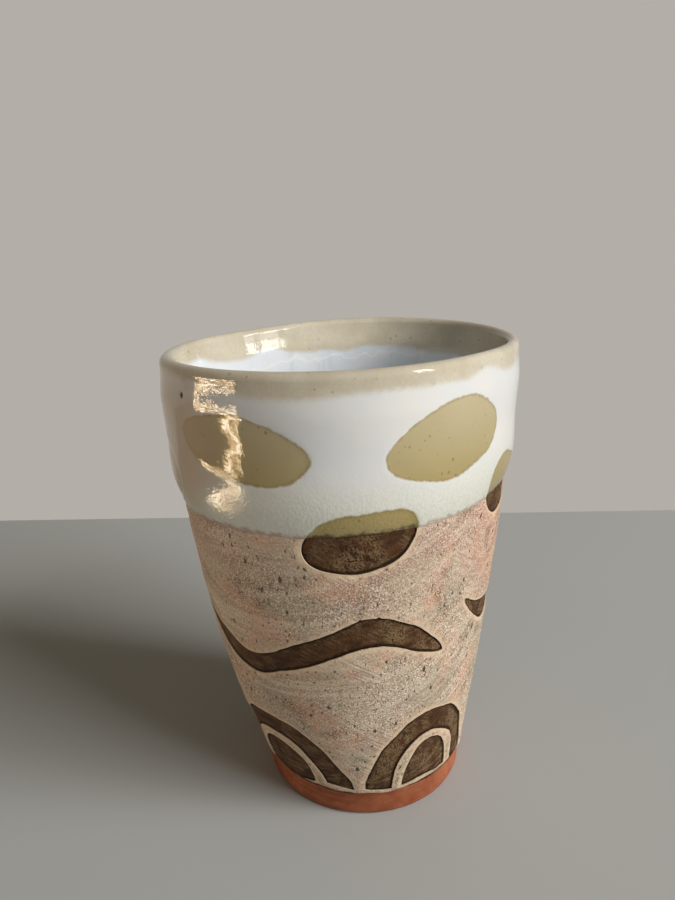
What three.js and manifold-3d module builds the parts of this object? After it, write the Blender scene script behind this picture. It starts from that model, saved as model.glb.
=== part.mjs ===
// An oval tumbler of red clay, built up in layers the way a potter makes it: a floor slab, a wall set on it,
// a coil that seals their joint, a dark slip, a pale slip with the pattern's windows in it, and two glazes.
// Millimetres, +Z up. The origin is the middle of the underside, and +X runs along the mouth's long way.
import * as THREE from "three";
import { mergeVertices } from "three/addons/utils/BufferGeometryUtils.js";
import Module from "manifold-3d";

// The cup's form
const height = 110; // from the table to the top of the lip
const footRadius = 25.3;
const mouthLength = 88.7; // across the clay at the rim, the long way
const mouthWidth = 67.3; // across the clay at the rim, the short way
const mouthEgg = 0.023; // how much blunter one end of the mouth is, as a share of its mean radius
const footFlare = 0.26; // how fast the wall widens just above the floor slab, in mm for each mm of height
const mouthFlare = 0.05; // the same at the rim
const leanX = -1.4; // the mouth's middle, from the foot's middle
const leanY = 2.7;
const rimWave = 0.5; // the rim's rise and fall above and below its mean height

// The clay pieces
const floorThickness = 5.5;
const footEdgeRadius = 1.2; // the rounded bottom edge of the floor slab
const wallAtFoot = 4.5; // thickness
const wallAtRim = 2;
const coilReach = 5; // how far the sealing coil spreads over the floor and up the wall

// The coats
const darkThickness = 0.3;
const paleThickness = 0.4;
const glazeThickness = 0.5;
const glazeRoll = 0.9; // thickness of the roll that the dip glaze gathered at its lower edge
const glazeRollHeight = 5; // how far up the band that extra thickness fades out
const linerThickness = 0.5;
const fusedGap = 0.05; // clearance between two layers that are fired together

// Where the coats begin and end
const slipStart = 0.9; // the bare clay left between the floor slab and the slips
const dipDepth = 33; // from the lip down to the dip glaze's lower edge, which is its mean height
const glazeTiltX = -1.5; // its fall towards +X and +Y, because the cup was dipped at a slant
const glazeTiltY = -0.55;
const paleBelowRim = 5.5; // from the lip down to the pale slip's upper edge
const darkBelowRim = 4; // from the lip down to the dark slip's upper edge
const insideDip = 8.5; // how far down inside the dip glaze runs

// How finely the round forms are divided
const turns = 36;
const lipSteps = 5;
const coilSteps = 4;
const rollSteps = 3;
const levelStep = 16; // the aim for the height between two rings of the wall

// The pattern: windows in the pale slip that show the dark slip under it. A motif's place is the angle of its
// middle from +X and a height, its sizes run along the wall, and its tilt is in degrees.
const pebbles = [
  { angle: 148, aboveGlazeLine: 7, wide: 30, tall: 17, tilt: 12 },
  { angle: 196, aboveGlazeLine: 18, wide: 26, tall: 13, tilt: -9 },
  { angle: 224, aboveGlazeLine: -1, wide: 23, tall: 14, tilt: 8 },
  { angle: 259, aboveGlazeLine: 17, wide: 36, tall: 16, tilt: 8 },
  { angle: 304, aboveGlazeLine: 2, wide: 26, tall: 15, tilt: -12 },
  { angle: 340, aboveGlazeLine: 18, wide: 27, tall: 14, tilt: 8 },
  { angle: 17, aboveGlazeLine: 3, wide: 26, tall: 15, tilt: 10 },
  { angle: 60, aboveGlazeLine: 17, wide: 30, tall: 15, tilt: -11 },
  { angle: 103, aboveGlazeLine: 1, wide: 24, tall: 14, tilt: 8 },
];
const strokeCount = 3; // wavy brush strokes round the middle
const strokeFirstAngle = 208;
const strokeDrop = 3; // how far they lie below the middle of the space between the arches and the glaze
const strokeGap = 9; // the pale slip left between the ends of two strokes
const strokeTall = 6;
const strokeRise = -5; // how much higher its end is than its middle
const strokeSwell = 7; // how far its wave swings to each side
const archCount = 5; // arches on the foot, each with a half moon under it
const archFirstAngle = 184;
const archMargin = 3; // from the slips' lower edge up to the line that the arches stand on
const archGap = 3; // the pale slip left between two arches
const archTall = 20;
const archBand = 5.5; // width of an arch's band
const archSpace = 2.4; // the pale line between the band and the half moon
const outlineSteps = 8; // how finely each curve of a motif's outline is divided
const windowDepth = 8; // how far a window's cutter reaches on both sides of the wall's face

const clayTop = height - glazeThickness - fusedGap;
const lipCentre = clayTop - wallAtRim / 2; // height where the wall's faces turn into the round lip
const wallFoot = floorThickness + fusedGap;
const coilTop = wallFoot + coilReach;
const slipFoot = floorThickness + slipStart;
const paleTop = height - paleBelowRim;
const darkTop = height - darkBelowRim;
const insideLine = height - insideDip;
const glazeLine = height - dipDepth;
const rollTop = glazeLine + glazeRoll;
const rollFade = rollTop + glazeRollHeight;
const mouthRadius = (mouthLength + mouthWidth) / 4;
const ovalness = (mouthLength - mouthWidth) / (mouthLength + mouthWidth);
const paleInner = darkThickness + 2 * fusedGap; // from the wall's face to each coat's own faces
const paleOuter = paleInner + paleThickness;
const glazeInner = paleOuter + fusedGap;
const archFoot = slipFoot + archMargin; // the line that the arches stand on
const strokeUp = (archFoot + archTall + glazeLine) / 2 - strokeDrop; // height of a stroke's middle

function numbered(count) {
  return Array.from({ length: count }, (_, i) => i);
}

// The wall's outer radius at a height, before the cup is squeezed to its oval. A Hermite curve gives it.
function wallRadius(z) {
  const rise = height - floorThickness;
  const s = THREE.MathUtils.clamp((z - floorThickness) / rise, 0, 1);
  const toMouth = s * s * (3 - 2 * s);
  const startPull = s * (1 - s) * (1 - s) * rise * footFlare;
  const endPull = s * s * (s - 1) * rise * mouthFlare;
  return footRadius * (1 - toMouth) + mouthRadius * toMouth + startPull + endPull;
}

function wallThickness(z) {
  return THREE.MathUtils.mapLinear(z, floorThickness, lipCentre, wallAtFoot, wallAtRim);
}

// Squeezes a turned point, given by its radius, angle and height, to the cup's real form.
function squeezed(r, angle, z) {
  const share = (wallRadius(z) - footRadius) / (mouthRadius - footRadius);
  const plan = ovalness * Math.cos(2 * angle) + mouthEgg * Math.cos(3 * angle);
  const radius = r * (1 + (share * plan * mouthRadius) / wallRadius(z));
  const nearRim = THREE.MathUtils.smoothstep(z, glazeLine, height);
  const fromLine = Math.min(1, Math.abs(z - glazeLine) / (height - glazeLine));
  const nearLine = (1 - fromLine * fromLine) ** 2;
  const slant = glazeTiltX * Math.cos(angle) + glazeTiltY * Math.sin(angle);
  const wave = rimWave * Math.sin(2 * angle) * nearRim + slant * nearLine;
  return new THREE.Vector3(
    leanX * share + radius * Math.cos(angle),
    leanY * share + radius * Math.sin(angle),
    z + (wave * r) / wallRadius(z),
  );
}

// Turns a profile of (radius, height) points round the axis and squeezes every point. The profile runs up on
// its outer side, down on its inner one, and closes on itself. Each four-sided facet is split along the same
// diagonal, whichever way the profile runs, so that layers that touch have parallel facets.
function thrown(profile) {
  const count = profile.length;
  const places = [];
  for (let turn = 0; turn < turns; turn++)
    for (const { x, y } of profile) places.push(squeezed(x, (2 * Math.PI * turn) / turns, y));
  const corner = (turn, j) => (profile[j].x === 0 ? j : (turn % turns) * count + j);
  const faces = [];
  for (let turn = 0; turn < turns; turn++)
    for (let j = 0; j < count; j++) {
      const next = (j + 1) % count;
      const [a, b] = [corner(turn, j), corner(turn + 1, j)];
      const [c, d] = [corner(turn + 1, next), corner(turn, next)];
      const rises = profile[next].y > profile[j].y;
      const pair = rises ? [[a, b, d], [b, c, d]] : [[a, b, c], [a, c, d]];
      faces.push(...pair.filter(([p, q, r]) => p !== q && q !== r && r !== p));
    }
  const geometry = new THREE.BufferGeometry().setFromPoints(places);
  geometry.setIndex(faces.flat());
  return geometry;
}

// Every layer has its rings at the same heights, so that the facets of one lie flat on those of the next: the
// heights where a coat or a piece begins or ends, with even steps between them.
const clayLevels = [wallFoot, coilTop, lipCentre];
const coatLevels = [slipFoot, glazeLine, rollTop, rollFade, insideLine, paleTop, darkTop];
const levels = [...clayLevels, ...coatLevels]
  .sort((a, b) => a - b)
  .flatMap((z, i, all) => {
    const gap = (all[i + 1] ?? z) - z;
    const steps = Math.max(1, Math.round(gap / levelStep));
    return numbered(steps).map((k) => z + (gap * k) / steps);
  });

function levelsBetween(from, to) {
  const low = Math.min(from, to);
  const high = Math.max(from, to);
  const found = [low, ...levels.filter((z) => z > low + fusedGap && z < high - fusedGap), high];
  return from < to ? found : found.reverse();
}

// Points up or down the wall's outer face, standing off it by a distance that may depend on the height.
function outside(from, to, standoff) {
  return levelsBetween(from, to).map((z) => {
    const off = typeof standoff === "function" ? standoff(z) : standoff;
    return new THREE.Vector2(wallRadius(z) + off, z);
  });
}

function inside(from, to, standoff) {
  return levelsBetween(from, to).map(
    (z) => new THREE.Vector2(wallRadius(z) - wallThickness(z) - standoff, z),
  );
}

// The half round over the lip, from the outer face to the inner one.
function lip(standoff) {
  const r = wallAtRim / 2 + standoff;
  const middle = wallRadius(lipCentre) - wallAtRim / 2;
  return numbered(lipSteps - 1).map((i) => {
    const turn = (Math.PI * (i + 1)) / lipSteps;
    return new THREE.Vector2(middle + r * Math.cos(turn), lipCentre + r * Math.sin(turn));
  });
}

// The sealing coil's hollow face, from the floor to the wall.
function coilFace() {
  const corner = inside(wallFoot, coilTop, fusedGap)[0];
  const top = inside(wallFoot, coilTop, fusedGap).at(-1);
  const start = new THREE.Vector2(corner.x - coilReach, wallFoot);
  return new THREE.QuadraticBezierCurve(start, corner, top).getPoints(coilSteps);
}

// Moves a path sideways, towards the cup's hollow, by a distance.
function towardsHollow(path, distance) {
  return path.map((p, i) => {
    const along = path[Math.min(i + 1, path.length - 1)].clone().sub(path[Math.max(i - 1, 0)]);
    if (i === 0) along.set(1, 0); // flat where it starts on the axis
    return new THREE.Vector2(-along.y, along.x).setLength(distance).add(p);
  });
}

function floorSlab() {
  const edge = numbered(rollSteps + 1).map((i) => {
    const turn = (Math.PI / 2) * (i / rollSteps);
    return new THREE.Vector2(
      footRadius - footEdgeRadius * (1 - Math.sin(turn)),
      footEdgeRadius * (1 - Math.cos(turn)),
    );
  });
  const top = new THREE.Vector2(footRadius, floorThickness);
  return thrown([new THREE.Vector2(0, 0), ...edge, top, new THREE.Vector2(0, floorThickness)]);
}

function wall() {
  return thrown([...outside(wallFoot, lipCentre, 0), ...lip(0), ...inside(lipCentre, wallFoot, 0)]);
}

function coil() {
  const corner = inside(wallFoot, coilTop, fusedGap)[0];
  return thrown([corner, ...coilFace().reverse()]);
}

function coat(from, to, inner, outer) {
  return thrown([...outside(from, to, outer), ...outside(to, from, inner)]);
}

// The dip glaze: up the outside from its rolled lower edge, over the lip, and a little way down inside.
function dipGlaze() {
  const rolled = (z) => {
    const left = THREE.MathUtils.clamp((rollFade - z) / glazeRollHeight, 0, 1);
    return glazeInner + glazeThickness + (glazeRoll - glazeThickness) * left * left;
  };
  const rollEdge = numbered(rollSteps).map((i) => {
    const turn = (Math.PI / 2) * (i / rollSteps);
    return new THREE.Vector2(
      wallRadius(glazeLine) + glazeInner + glazeRoll * Math.sin(turn),
      glazeLine + glazeRoll * (1 - Math.cos(turn)),
    );
  });
  const thin = fusedGap + glazeThickness;
  return thrown([
    ...rollEdge,
    ...outside(rollTop, paleTop, rolled),
    new THREE.Vector2(wallRadius(lipCentre) + thin, lipCentre),
    ...lip(thin),
    ...inside(lipCentre, insideLine, thin),
    ...inside(insideLine, lipCentre, fusedGap),
    ...lip(fusedGap).reverse(),
    ...outside(lipCentre, darkTop + fusedGap, fusedGap),
    ...outside(darkTop + fusedGap, paleTop + fusedGap, paleInner),
    ...outside(paleTop + fusedGap, glazeLine, glazeInner).slice(0, -1),
  ]);
}

// The liner glaze: over the floor, the coil and the wall's inner face, up to where the dip glaze ends.
function linerGlaze() {
  const clay = [
    new THREE.Vector2(0, floorThickness),
    ...coilFace(),
    ...inside(coilTop, insideLine - fusedGap, 0).slice(1),
  ];
  const under = towardsHollow(clay, fusedGap);
  const over = towardsHollow(clay, fusedGap + linerThickness);
  return thrown([...under, ...over.reverse()]);
}

const wasm = await Module();
wasm.setup();

function solidOf(geometry) {
  geometry.deleteAttribute("normal");
  geometry.deleteAttribute("uv");
  const merged = mergeVertices(geometry);
  return new wasm.Manifold(
    new wasm.Mesh({
      numProp: 3,
      vertProperties: new Float32Array(merged.getAttribute("position").array),
      triVerts: new Uint32Array(merged.index.array),
    }),
  );
}

function geometryOf(solid) {
  const mesh = solid.getMesh();
  const geometry = new THREE.BufferGeometry();
  geometry.setAttribute("position", new THREE.BufferAttribute(mesh.vertProperties, 3));
  geometry.setIndex(new THREE.BufferAttribute(mesh.triVerts, 1));
  return geometry;
}

// The block that cuts one motif's window: the motif's flat outline gets a depth and is bent round the wall.
function windowCutter(outline, angle, up) {
  const block = new THREE.ExtrudeGeometry(outline, {
    depth: 2 * windowDepth,
    curveSegments: outlineSteps,
    bevelEnabled: false,
  });
  const at = block.getAttribute("position");
  for (let i = 0; i < at.count; i++) {
    const turn = THREE.MathUtils.degToRad(angle) + at.getX(i) / wallRadius(up);
    const z = up + at.getY(i);
    const p = squeezed(wallRadius(z) + at.getZ(i) - windowDepth, turn, z);
    at.setXYZ(i, p.x, p.y, p.z);
  }
  return solidOf(block);
}

function pebbleCutter({ angle, aboveGlazeLine, wide, tall, tilt }) {
  const lean = THREE.MathUtils.degToRad(tilt);
  const outline = new THREE.Shape().absellipse(0, 0, wide / 2, tall / 2, 0, 2 * Math.PI, false, lean);
  return windowCutter(outline, angle, glazeLine + aboveGlazeLine);
}

// How wide a motif is when so many of them go once round the wall at a height, with a gap between two.
function shareOfRound(count, up, gap) {
  return (2 * Math.PI * wallRadius(up)) / count - gap;
}

// A wavy stroke that narrows to a point at both ends. Its share s runs from -1 to 1 along it.
function strokeCutter(number) {
  const strokeWide = shareOfRound(strokeCount, strokeUp, strokeGap);
  const edge = (s, side) => {
    const middle = strokeRise * s + strokeSwell * Math.sin(Math.PI * s);
    const half = (strokeTall / 2) * Math.sqrt(1 - s ** 4);
    return new THREE.Vector2((s * strokeWide) / 2, middle + side * half);
  };
  const shares = numbered(2 * outlineSteps + 1).map((i) => i / outlineSteps - 1);
  const lower = shares.map((s) => edge(s, -1));
  const upper = shares.slice(1, -1).map((s) => edge(s, 1));
  const outline = new THREE.Shape([...lower, ...upper.reverse()]);
  return windowCutter(outline, strokeFirstAngle + (360 / strokeCount) * number, strokeUp);
}

// A band bent to an arch, and the half moon that stands under it.
function archCutters(number) {
  const angle = archFirstAngle + (360 / archCount) * number;
  const archWide = shareOfRound(archCount, archFoot, archGap);
  const underWide = archWide - 2 * archBand;
  const underTall = archTall - archBand;
  const band = new THREE.Shape();
  band.absellipse(0, 0, archWide / 2, archTall, 0, Math.PI, false);
  band.absellipse(0, 0, underWide / 2, underTall, Math.PI, 0, true);
  const moon = new THREE.Shape();
  moon.absellipse(0, 0, underWide / 2 - archSpace, underTall - archSpace, 0, Math.PI, false);
  return [windowCutter(band, angle, archFoot), windowCutter(moon, angle, archFoot)];
}

function paleCoat() {
  const cutters = [
    ...pebbles.map(pebbleCutter),
    ...numbered(strokeCount).map(strokeCutter),
    ...numbered(archCount).flatMap(archCutters),
  ];
  const whole = solidOf(coat(slipFoot, paleTop, paleInner, paleOuter));
  return geometryOf(cutters.reduce((solid, cutter) => solid.subtract(cutter), whole));
}

const redClay = new THREE.MeshStandardMaterial({ color: 0xa9583a, roughness: 0.85 });
const darkSlip = new THREE.MeshStandardMaterial({ color: 0x3f3025, roughness: 0.8 });
const paleSlip = new THREE.MeshStandardMaterial({ color: 0xd3bfa6, roughness: 0.9 });
const creamGlaze = new THREE.MeshStandardMaterial({ color: 0xdedccb, roughness: 0.12 });
const whiteGlaze = new THREE.MeshStandardMaterial({ color: 0xe6eaec, roughness: 0.1 });

const cup = new THREE.Group();

function add(name, geometry, material) {
  geometry.computeVertexNormals();
  const mesh = new THREE.Mesh(geometry, material);
  mesh.name = name;
  cup.add(mesh);
}

add("floor_slab", floorSlab(), redClay);
add("wall", wall(), redClay);
add("joint_coil", coil(), redClay);
add("dark_slip_coat", coat(slipFoot, darkTop, fusedGap, fusedGap + darkThickness), darkSlip);
add("pale_slip_coat", paleCoat(), paleSlip);
add("dip_glaze", dipGlaze(), creamGlaze);
add("liner_glaze", linerGlaze(), whiteGlaze);

export default cup;
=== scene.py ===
# %% [markdown]
# # A slipware tumbler, built up layer by layer
#
# The object is a coffee cup without a handle, made by hand from slabs of red clay. A potter stands a wall on
# a round floor, seals the inner corner with a coil of soft clay, brushes dark slip over the outside and pale
# slip over that, leaves windows in the pale slip where the dark one shows, dips the rim in a thin glaze and
# pours a white glaze inside. This lesson makes the same layers in the same order.
#
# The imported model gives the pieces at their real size. All of them but the hidden coil get a finer copy
# here, in the same place, because a finish needs more points than a plain solid has.

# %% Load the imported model
import math

import bmesh
import bpy
import numpy as np
from mathutils import Matrix, Vector


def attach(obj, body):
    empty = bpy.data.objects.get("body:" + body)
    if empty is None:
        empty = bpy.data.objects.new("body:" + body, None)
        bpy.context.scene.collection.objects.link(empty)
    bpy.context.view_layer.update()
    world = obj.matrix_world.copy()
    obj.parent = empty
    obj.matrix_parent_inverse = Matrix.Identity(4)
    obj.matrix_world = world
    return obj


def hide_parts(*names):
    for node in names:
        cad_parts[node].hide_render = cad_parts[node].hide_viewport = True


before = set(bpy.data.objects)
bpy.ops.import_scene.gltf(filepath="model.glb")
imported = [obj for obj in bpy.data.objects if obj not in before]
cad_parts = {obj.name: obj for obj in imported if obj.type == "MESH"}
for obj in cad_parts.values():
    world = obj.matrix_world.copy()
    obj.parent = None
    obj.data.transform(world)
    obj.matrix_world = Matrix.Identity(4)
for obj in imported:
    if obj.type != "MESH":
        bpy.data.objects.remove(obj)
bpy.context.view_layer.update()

# %% [markdown]
# ## The cup's form
#
# The foot is round and the mouth is a slightly egg-shaped oval that leans over the foot, as a slab cup gets
# when its wall is pulled out by hand. The wall's radius follows one smooth curve from foot to mouth, and
# `squeeze` turns a point of a round pot into a point of this one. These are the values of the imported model,
# so a fine layer lies where its plain solid lies.

# %% Sizes of the form
mm = 0.001
cup_height = 110 * mm
foot_radius = 25.3 * mm
mouth_length = 88.7 * mm
mouth_width = 67.3 * mm
mouth_egg = 0.023
foot_flare = 0.26
mouth_flare = 0.05
lean_x = -1.4 * mm
lean_y = 2.7 * mm
rim_wave = 0.5 * mm
floor_thickness = 5.5 * mm
foot_edge_radius = 1.2 * mm
wall_at_foot = 4.5 * mm
wall_at_rim = 2 * mm
coil_reach = 5 * mm

# %% Sizes of the coats
dark_thickness = 0.3 * mm
pale_thickness = 0.4 * mm
glaze_thickness = 0.5 * mm
glaze_roll = 1.1 * mm
fused_gap = 0.05 * mm
slip_foot = floor_thickness + 0.9 * mm
glaze_line = cup_height - 33 * mm
glaze_tilt_x = -1.5 * mm
glaze_tilt_y = -0.55 * mm
pale_top = cup_height - 5.5 * mm
dark_top = cup_height - 4 * mm
inside_line = cup_height - 8.5 * mm

clay_top = cup_height - glaze_thickness - fused_gap
lip_centre = clay_top - wall_at_rim / 2
mouth_radius = (mouth_length + mouth_width) / 4
ovalness = (mouth_length - mouth_width) / (mouth_length + mouth_width)
dark_outer = fused_gap + dark_thickness
pale_inner = dark_outer + fused_gap
pale_outer = pale_inner + pale_thickness

# %% Curves of the form


def smooth_step(value, low, high):
    share = np.clip((value - low) / (high - low), 0, 1)
    return share * share * (3 - 2 * share)


def wall_radius(z):
    """The outer radius of the clay wall at a height, before the cup is squeezed oval."""
    rise = cup_height - floor_thickness
    s = np.clip((z - floor_thickness) / rise, 0, 1)
    to_mouth = s * s * (3 - 2 * s)
    pulls = s * (1 - s) ** 2 * foot_flare + s * s * (s - 1) * mouth_flare
    return foot_radius * (1 - to_mouth) + mouth_radius * to_mouth + pulls * rise


def wall_thickness(z):
    share = (z - floor_thickness) / (lip_centre - floor_thickness)
    return wall_at_foot + (wall_at_rim - wall_at_foot) * share


def inner_radius(z):
    return wall_radius(z) - wall_thickness(z)


print("The clay's inner and outer mean radius at the lip, in mm:")
print([round(float(curve(lip_centre)) / mm, 2) for curve in (inner_radius, wall_radius)])


# %% [markdown]
# ## Noise that knows no seam
#
# Nothing on a hand-made pot is quite even. All of its wobbles come from one function that gives smooth random
# values in space. It is asked at points of a drum as wide as the cup, so its values meet again after one
# turn. Random values that are hashed from whole numbers are the same on each run.

# %% Noise
drum_radius = 33 * mm


def soft_noise(points, size, seed):
    """Smooth values from -1 to 1 that change over about one size, which may differ along x, y and z."""
    spots = points / size + 31.7 * seed
    cells = np.floor(spots).astype(np.int64)
    parts = spots - cells
    rounded = parts * parts * (3 - 2 * parts)
    total = np.zeros(points.shape[:-1])
    for corner in np.ndindex(2, 2, 2):
        key = (cells + corner) @ np.array([73856093, 19349663, 83492791])
        key = (key ^ (key >> 15)) * 2246822519 & 0xFFFFFFFF
        key = (key ^ (key >> 13)) * 3266489917 & 0xFFFFFFFF
        weight = np.where(corner, rounded, 1 - rounded).prod(axis=-1)
        total += weight * (key / 0x7FFFFFFF - 1)
    return total


def drum_points(turn, z, rise=0.0, start=0.0):
    """Points of a drum. With a rise, level lines climb and fall once round it, as a brush's path does."""
    turn, z = np.broadcast_arrays(turn, z)
    path = z + rise * np.sin(turn - start)
    return np.stack([drum_radius * np.cos(turn), drum_radius * np.sin(turn), path], axis=-1)


def wobble(turn, z, size, seed):
    return soft_noise(drum_points(turn, z), size, seed)


print("Noise at three spots:", soft_noise(np.eye(3), 0.3, seed=1).round(3))

# %% From a round pot to this one
dent_depth = 0.3 * mm
rim_sag = 0.25 * mm


def squeeze(radius, turn, z):
    """Gives a turned point the cup's oval, its lean, its wavy rim, its slanting glaze line and its dents."""
    share = (wall_radius(z) - foot_radius) / (mouth_radius - foot_radius)
    plan = ovalness * np.cos(2 * turn) + mouth_egg * np.cos(3 * turn)
    reach = radius * (1 + share * plan * mouth_radius / wall_radius(z))
    dents = 0.5 + 0.5 * wobble(turn, z, 17 * mm, seed=1)
    reach = reach - dent_depth * dents * smooth_step(z, floor_thickness, 3 * floor_thickness) * (radius > 0)
    from_line = np.minimum(1, np.abs(z - glaze_line) / (cup_height - glaze_line))
    slant = glaze_tilt_x * np.cos(turn) + glaze_tilt_y * np.sin(turn)
    wave = rim_wave * np.sin(2 * turn) * smooth_step(z, glaze_line, cup_height)
    wave = wave + slant * (1 - from_line**2) ** 2
    sagging = 0.7 + 0.3 * wobble(turn, 0 * z, 21 * mm, seed=4)
    wave = wave - rim_sag * sagging * smooth_step(z, inside_line - 12 * mm, cup_height)
    x = lean_x * share + reach * np.cos(turn)
    y = lean_y * share + reach * np.sin(turn)
    return np.stack([x, y, z + wave * radius / wall_radius(z)], axis=-1)


trial = squeeze(mouth_radius, np.zeros(1), cup_height)
print("Where a point of the rim comes to lie, in mm:", (trial / mm).round(1))

# %% [markdown]
# ## The windows
#
# The dark shapes on the cup are windows in the pale slip. Each is a simple brushed form: pebbles behind the
# glaze, wavy strokes round the middle, and arches with half moons on the foot. The hand that draws them
# drifts and shakes a little. For every point of the wall `window_gap` says how far it is from the nearest
# window, below zero inside one. That one number cuts the pale slip, lets the glaze sink, and later tells the
# colours where an edge is.

# %% The motifs
# Pebbles: angle in degrees, height above the glaze line, width, height and tilt in degrees.
pebbles = [
    (148, 7 * mm, 30 * mm, 17 * mm, 12),
    (196, 18 * mm, 26 * mm, 13 * mm, -9),
    (224, -1 * mm, 23 * mm, 14 * mm, 8),
    (259, 17 * mm, 36 * mm, 16 * mm, 8),
    (304, 2 * mm, 26 * mm, 15 * mm, -12),
    (340, 18 * mm, 27 * mm, 14 * mm, 8),
    (17, 3 * mm, 26 * mm, 15 * mm, 10),
    (60, 17 * mm, 30 * mm, 15 * mm, -11),
    (103, 1 * mm, 24 * mm, 14 * mm, 8),
]
stroke_count = 3
stroke_first_angle = 208
stroke_drop = 3 * mm
stroke_gap_left = 9 * mm
stroke_tall = 6 * mm
stroke_rise = -5 * mm
stroke_swell = 7 * mm
arch_count = 5
arch_first_angle = 184
arch_foot = slip_foot + 3 * mm
arch_gap_left = 3 * mm
arch_tall = 20 * mm
arch_band = 5.5 * mm
arch_space = 2.4 * mm
drift_along = 1.6 * mm
drift_up = 1.5 * mm
shake_slow = 0.5 * mm
shake_quick = 0.09 * mm
stroke_up = (arch_foot + arch_tall + glaze_line) / 2 - stroke_drop
stroke_wide = 2 * math.pi * wall_radius(stroke_up) / stroke_count - stroke_gap_left
arch_wide = 2 * math.pi * wall_radius(arch_foot) / arch_count - arch_gap_left
nanometre = 1e-9

# %% Distance to the motifs


def ellipse_gap(x, y, half_long, half_tall):
    x = x + nanometre
    near = np.hypot(x / half_long, y / half_tall)
    return near * (near - 1) / np.hypot(x / half_long**2, y / half_tall**2)


def stroke_gap(x, y):
    half_wide, half_tall = stroke_wide / 2, stroke_tall / 2
    s = np.clip(x / half_wide, -1.3, 1.3)
    off = y + nanometre - stroke_rise * s - stroke_swell * np.sin(math.pi * s)
    slope = (stroke_rise + stroke_swell * math.pi * np.cos(math.pi * s)) / half_wide
    level = np.sqrt((off / half_tall) ** 2 + s**4)
    across = off / half_tall**2
    along = 2 * s**3 / half_wide - across * slope
    return (level - 1) * level / np.hypot(across, along)


def arch_gaps(x, y):
    under_long, under_tall = arch_wide / 2 - arch_band, arch_tall - arch_band
    inner = ellipse_gap(x, y, under_long, under_tall)
    band = np.maximum(ellipse_gap(x, y, arch_wide / 2, arch_tall), -inner)
    moon = ellipse_gap(x, y, under_long - arch_space, under_tall - arch_space)
    return np.maximum(np.minimum(band, moon), -y)


def turn_from(angle, turn):
    """How far round a point is from an angle in degrees, the short way."""
    return (turn - math.radians(angle) + math.pi) % (2 * math.pi) - math.pi


def window_gap(turn, z):
    """How far a point of the wall is from the nearest window's outline, below 0 inside it."""
    drawn_turn = turn + drift_along / drum_radius * wobble(turn, z, 12 * mm, seed=5)
    drawn_z = z + drift_up * wobble(turn, z, 12 * mm, seed=6)

    def seen_from(angle, up):
        return turn_from(angle, drawn_turn) * wall_radius(up), drawn_z - up

    gaps = []
    for angle, above, wide, tall, tilt in pebbles:
        x, y = seen_from(angle, glaze_line + above)
        lean, rise = math.cos(math.radians(tilt)), math.sin(math.radians(tilt))
        gaps.append(ellipse_gap(x * lean + y * rise, y * lean - x * rise, wide / 2, tall / 2))
    for number in range(stroke_count):
        gaps.append(stroke_gap(*seen_from(stroke_first_angle + 360 / stroke_count * number, stroke_up)))
    for number in range(arch_count):
        gaps.append(arch_gaps(*seen_from(arch_first_angle + 360 / arch_count * number, arch_foot)))
    hand = shake_slow * wobble(turn, z, 6 * mm, seed=2) + shake_quick * wobble(turn, z, 1.3 * mm, seed=3)
    return np.minimum.reduce(gaps) + hand


trial_turn, trial_z = np.meshgrid(np.linspace(0, 2 * math.pi, 400), np.linspace(slip_foot, glaze_line, 200))
shown = (window_gap(trial_turn, trial_z) < 0).mean()
print("Share of the unglazed wall that shows the dark slip:", round(float(shown), 3))

# %% [markdown]
# ## From numbers to meshes
#
# Every layer is a skin that goes once round the cup. A skin is a grid: its rows follow a profile, its columns
# go round, and each cell becomes a four-sided face. A closed profile, up the outside and down the inside,
# gives a closed shell. Extra numbers for each point, such as the distance to a window, are kept in the mesh
# as attributes, because a material can read them.

# %% Faces and pieces


def grid_faces(rows, columns, closed):
    """The four-sided faces of a skin, all turned outwards. With closed, the last row joins the first."""
    row = np.arange(rows if closed else rows - 1)[:, None]
    column = np.arange(columns)[None, :]
    above, beside = (row + 1) % rows, (column + 1) % columns
    corners = [(row, column), (row, beside), (above, beside), (above, column)]
    numbered = [along * columns + across for along, across in corners]
    return np.stack(np.broadcast_arrays(*numbered), axis=-1).reshape(-1, 4)


def put_in_scene(name, data):
    thing = bpy.data.objects.new(name, data)
    bpy.context.scene.collection.objects.link(thing)
    return thing


def make_piece(name, points, faces, numbers, crease=50):
    """Makes an object from points and faces. Points that fall together, as on the axis, are joined."""
    mesh = bpy.data.meshes.new(name)
    mesh.from_pydata(points.reshape(-1, 3), [], faces)
    for label, values in numbers.items():
        kind, field = ("FLOAT_VECTOR", "vector") if values.shape[-1:] == (3,) else ("FLOAT", "value")
        attribute = mesh.attributes.new(label, kind, "POINT")
        attribute.data.foreach_set(field, values.astype(np.float32).ravel())
    bench = bmesh.new()
    bench.from_mesh(mesh)
    bmesh.ops.remove_doubles(bench, verts=bench.verts, dist=0.001 * mm)
    loose = [v for v in bench.verts if not v.link_faces]
    bmesh.ops.delete(bench, geom=loose, context="VERTS")
    bench.to_mesh(mesh)
    bench.free()
    mesh.shade_smooth()
    mesh.set_sharp_from_angle(angle=math.radians(crease))
    print(name, "has", len(mesh.polygons), "faces")
    return put_in_scene(name, mesh)


# %% Rows, profiles and seats


def turned_grid(heights, columns):
    turn = np.arange(columns) * 2 * math.pi / columns
    return np.meshgrid(turn, heights)


def turned_profile(radii, heights, columns):
    turn, z = turned_grid(heights, columns)
    return np.broadcast_to(radii[:, None], turn.shape), turn, z


def steps_between(low, high, step):
    """Even steps from low, which is the first, to just before high."""
    count = max(1, round(abs(high - low) / step))
    return low + (high - low) * np.arange(count) / count


def steps_after(low, high, step):
    """The same steps without low and with high."""
    return np.append(steps_between(low, high, step)[1:], high)


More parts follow.
